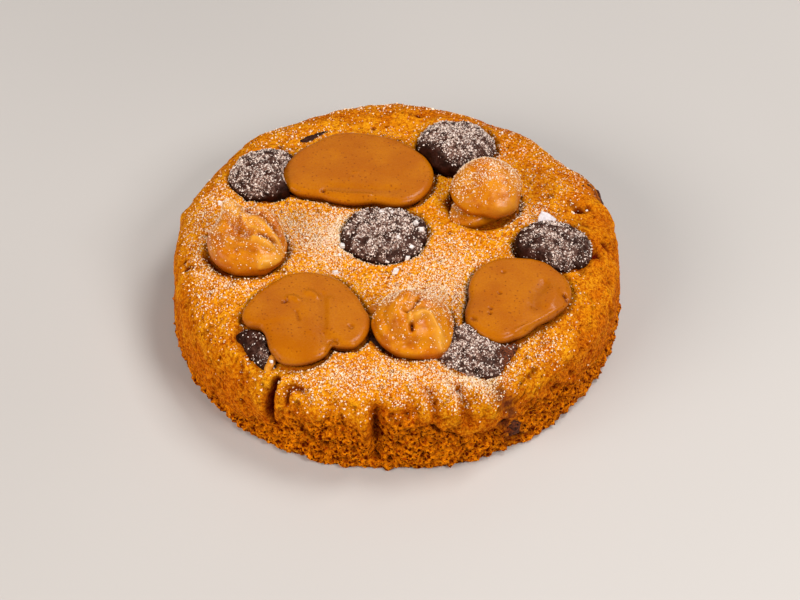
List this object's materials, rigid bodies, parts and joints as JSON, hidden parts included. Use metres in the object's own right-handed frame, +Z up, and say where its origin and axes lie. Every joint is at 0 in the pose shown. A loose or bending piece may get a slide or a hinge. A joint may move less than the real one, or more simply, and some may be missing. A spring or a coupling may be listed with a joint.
{
  "type": "chocolate caramel cookie",
  "caption": "Thick round baked cookie with dark chocolate buttons, flat caramel slabs, domed caramel drops and a dusting of sugar on top",
  "frame": {"origin": "middle of the underside, on the surface that the cookie rests on", "axes": "+Z up out of the face with the toppings, +X to the right and +Y to the back, away from the side that the picture shows nearest"},
  "size_m": [0.119, 0.1198, 0.0371],
  "materials": {
    "dough": "matte golden baked dough, browner and rougher low on the side",
    "chocolate": "matte dark chocolate dusted with fine sugar",
    "caramel_slab": "satin caramel",
    "caramel_drop": "satin pale caramel with some sugar",
    "salt": "white translucent salt flake"
  },
  "bodies": {
    "root": {"cookie_body": "dough", "chocolate_button_1": "chocolate", "chocolate_button_2": "chocolate", "chocolate_button_3": "chocolate", "chocolate_button_4": "chocolate", "chocolate_button_5": "chocolate", "chocolate_button_6": "chocolate", "chocolate_button_7": "chocolate", "chocolate_button_8": "chocolate", "chocolate_button_9": "chocolate", "chocolate_button_10": "chocolate", "caramel_slab_1": "caramel_slab", "caramel_slab_2": "caramel_slab", "caramel_slab_3": "caramel_slab", "caramel_drop_1": "caramel_drop", "caramel_drop_2": "caramel_drop", "caramel_drop_3": "caramel_drop", "caramel_bead": "caramel_drop", "salt_flake": "salt"}
  },
  "joints": []
}
